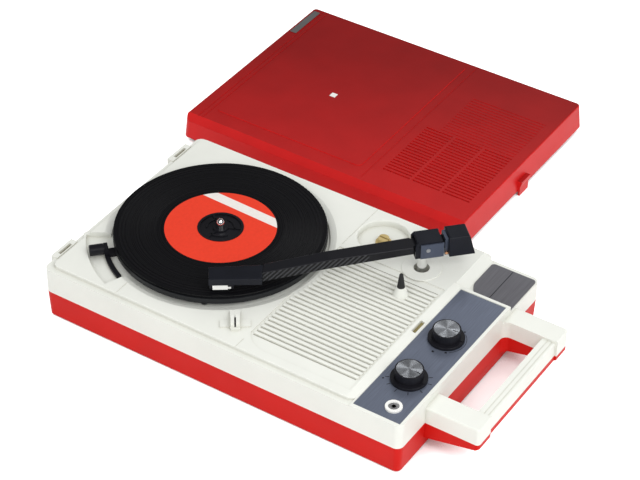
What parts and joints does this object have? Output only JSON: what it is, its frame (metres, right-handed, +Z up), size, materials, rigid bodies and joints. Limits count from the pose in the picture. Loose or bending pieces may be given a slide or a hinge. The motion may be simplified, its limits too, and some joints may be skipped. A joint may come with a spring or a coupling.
{
  "type": "portable record player",
  "caption": "Portable record player: cream deck on a red base with a moulded carry handle, record, tonearm, speaker grille, control panel, and a red lift-off lid lying behind it.",
  "frame": {"origin": "Centre of the bottom of the bounding box of the player and its lid, as they stand on the floor.", "axes": "X runs along the case toward the handle, Y from the case's front to the lid behind it, Z up."},
  "size_m": [0.4336, 0.4732, 0.0847],
  "materials": {
    "cream_shell": "moulded cream plastic, satin",
    "red_shell": "moulded red plastic, satin gloss",
    "lid_red": "moulded red plastic, gloss",
    "panel_grey": "painted slate grey sheet",
    "name_grey": "painted grey sheet",
    "black_plastic": "moulded black plastic",
    "vinyl": "black grooved vinyl",
    "label_paper": "printed paper, orange red with a pale band",
    "spun_aluminium": "spun in circles",
    "platter_metal": "painted black",
    "bright_chrome": "polished chrome",
    "dark_rubber": "matt rubber",
    "arm_black": "moulded black plastic with a fine diagonal pattern",
    "blue_steel": "dark bluish plated steel",
    "white_plastic": "white plastic",
    "cloth": "woven speaker cloth",
    "steel": "bare steel",
    "brass": "brass",
    "copper": "copper coloured screw",
    "board_green": "laminated board",
    "paper_cone": "pressed paper",
    "silver_foil": "bare silver plate",
    "amber_plastic": "yellowish plastic"
  },
  "bodies": {
    "cabinet": {"top_deck": "cream_shell", "lower_case": "red_shell", "rubber_feet": "dark_rubber", "case_screws": "steel", "control_plate": "panel_grey", "name_plate": "name_grey", "jack_sleeve": "bright_chrome", "jack_ring": "white_plastic", "potentiometers": "steel", "speaker_cloth": "cloth", "speaker_frame": "steel", "speaker_cone": "paper_cone", "speaker_magnet": "steel", "circuit_board": "board_green", "board_parts": "black_plastic", "motor_can": "steel", "motor_grommets": "dark_rubber", "motor_screws": "steel", "spindle_bearing": "brass", "arm_bearing": "brass", "arm_rest": "cream_shell", "arm_rest_pad": "dark_rubber", "buffer_tip": "dark_rubber", "adapter_clip": "amber_plastic", "battery_tray": "black_plastic", "battery_contacts": "steel", "drive_belt": "dark_rubber"},
    "turntable": {"platter": "platter_metal", "platter_mat": "dark_rubber", "spindle": "bright_chrome", "record": "vinyl", "record_label": "label_paper", "single_adapter": "black_plastic"},
    "motor_rotor": {"motor_pulley": "brass"},
    "arm_swivel": {"arm_post": "bright_chrome", "arm_housing": "arm_black", "housing_plates": "blue_steel", "pivot_screws": "steel"},
    "tonearm": {"arm_tube": "arm_black", "headshell": "arm_black", "cartridge": "black_plastic", "stylus": "steel", "stylus_tab": "white_plastic", "counterweight": "arm_black", "weight_link": "blue_steel", "weight_screw": "copper"},
    "speed_selector": {"speed_lever": "black_plastic", "speed_knob": "black_plastic"},
    "volume_control": {"volume_knob": "black_plastic", "volume_cap": "spun_aluminium"},
    "tone_control": {"tone_knob": "black_plastic", "tone_cap": "spun_aluminium"},
    "lift_off_lid": {"lid": "lid_red", "lid_badge": "silver_foil", "lid_emblem": "white_plastic", "lid_catch": "lid_red"},
    "battery_cover": {"battery_door": "red_shell"}
  },
  "joints": [
    {"name": "platter_turn", "type": "hinge", "parent": "cabinet", "child": "turntable", "pos_m": [-0.07085, -0.12505, 0.052], "axis": [0, 0, 1], "continuous": true},
    {"name": "motor_turn", "type": "hinge", "parent": "cabinet", "child": "motor_rotor", "pos_m": [-0.03799, -0.18686, 0.04], "axis": [0, 0, 1], "continuous": true},
    {"name": "arm_swing", "type": "hinge", "parent": "cabinet", "child": "arm_swivel", "pos_m": [0.08785, -0.07035, 0.0682], "axis": [0, 0, 1], "range_deg": [-10, 10.6]},
    {"name": "arm_lift", "type": "hinge", "parent": "arm_swivel", "child": "tonearm", "pos_m": [0.08924, -0.06891, 0.0762], "axis": [-0.7193, 0.6947, 0], "range_deg": [0, 12]},
    {"name": "speed_select", "type": "hinge", "parent": "cabinet", "child": "speed_selector", "pos_m": [-0.07085, -0.12505, 0.048], "axis": [0, 0, 1], "range_deg": [-10, 1.5]},
    {"name": "volume_turn", "type": "hinge", "parent": "cabinet", "child": "volume_control", "pos_m": [0.14675, -0.18615, 0.05], "axis": [0, 0, 1], "range_deg": [-150, 42]},
    {"name": "tone_turn", "type": "hinge", "parent": "cabinet", "child": "tone_control", "pos_m": [0.14675, -0.13085, 0.05], "axis": [0, 0, 1], "range_deg": [-100, 55]},
    {"name": "lid_lift_off", "type": "slide", "parent": "cabinet", "child": "lift_off_lid", "axis": [0, 0, 1], "range_m": [0, 0.2]},
    {"name": "battery_cover_slide", "type": "slide", "parent": "cabinet", "child": "battery_cover", "axis": [0, 1, 0], "range_m": [0, 0.0115]}
  ],
  "couplings": [
    {"joint": "motor_turn", "follows": "platter_turn", "ratio": 10}
  ]
}
